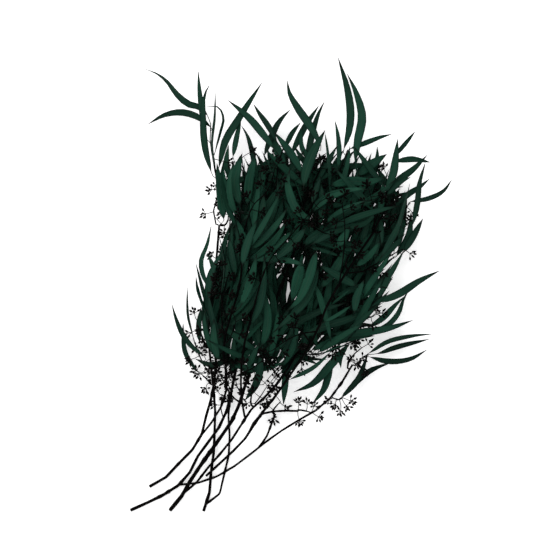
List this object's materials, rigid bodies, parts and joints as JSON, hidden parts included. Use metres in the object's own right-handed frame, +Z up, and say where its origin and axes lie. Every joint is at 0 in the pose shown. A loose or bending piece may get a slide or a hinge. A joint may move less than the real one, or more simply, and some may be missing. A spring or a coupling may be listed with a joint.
{
  "type": "bunch of willow eucalyptus",
  "caption": "Loose bunch of cut, forked eucalyptus branches with long narrow leaves and small bud clusters, lying flat.",
  "frame": {"origin": "middle of the bunch's box, on the surface that it lies on", "axes": "+Y from the cut ends towards the leaf tips, +Z up from the surface, +X to the right seen from above"},
  "size_m": [0.4888, 0.69, 0.1162],
  "materials": {
    "bark": "matt, fine lengthwise furrows",
    "leaf": "satin, dyed dark green",
    "bud": "matt"
  },
  "bodies": {
    "root": {"branch_a": "bark", "branch_b": "bark", "branch_c": "bark", "branch_d": "bark", "branch_e": "bark", "buds_bottom_right": "bud", "buds_centre": "bud", "buds_centre_right": "bud", "buds_far_left": "bud", "buds_hanging_low": "bud", "buds_low_left": "bud", "buds_neck": "bud", "buds_neck_right": "bud", "buds_right": "bud", "buds_right_top": "bud", "buds_top": "bud", "buds_twig_end": "bud", "buds_upper_left": "bud", "spray_bottom_left": "leaf", "spray_bottom_middle": "leaf", "spray_bottom_right": "leaf", "spray_bottom_right_low": "leaf", "spray_centre": "leaf", "spray_centre_left": "leaf", "spray_centre_top": "leaf", "spray_far_left": "leaf", "spray_inner_a": "leaf", "spray_inner_b": "leaf", "spray_inner_c": "leaf", "spray_inner_d": "leaf", "spray_inner_e": "leaf", "spray_inner_f": "leaf", "spray_inner_g": "leaf", "spray_inner_h": "leaf", "spray_inner_i": "leaf", "spray_inner_j": "leaf", "spray_left": "leaf", "spray_left_low": "leaf", "spray_left_middle": "leaf", "spray_right": "leaf", "spray_right_lower": "leaf", "spray_right_middle": "leaf", "spray_right_top": "leaf", "spray_right_upper": "leaf", "spray_top_left": "leaf", "spray_top_middle": "leaf", "spray_top_right": "leaf", "spray_upper_left": "leaf", "spray_upper_middle": "leaf", "spray_upper_right": "leaf"}
  },
  "joints": []
}
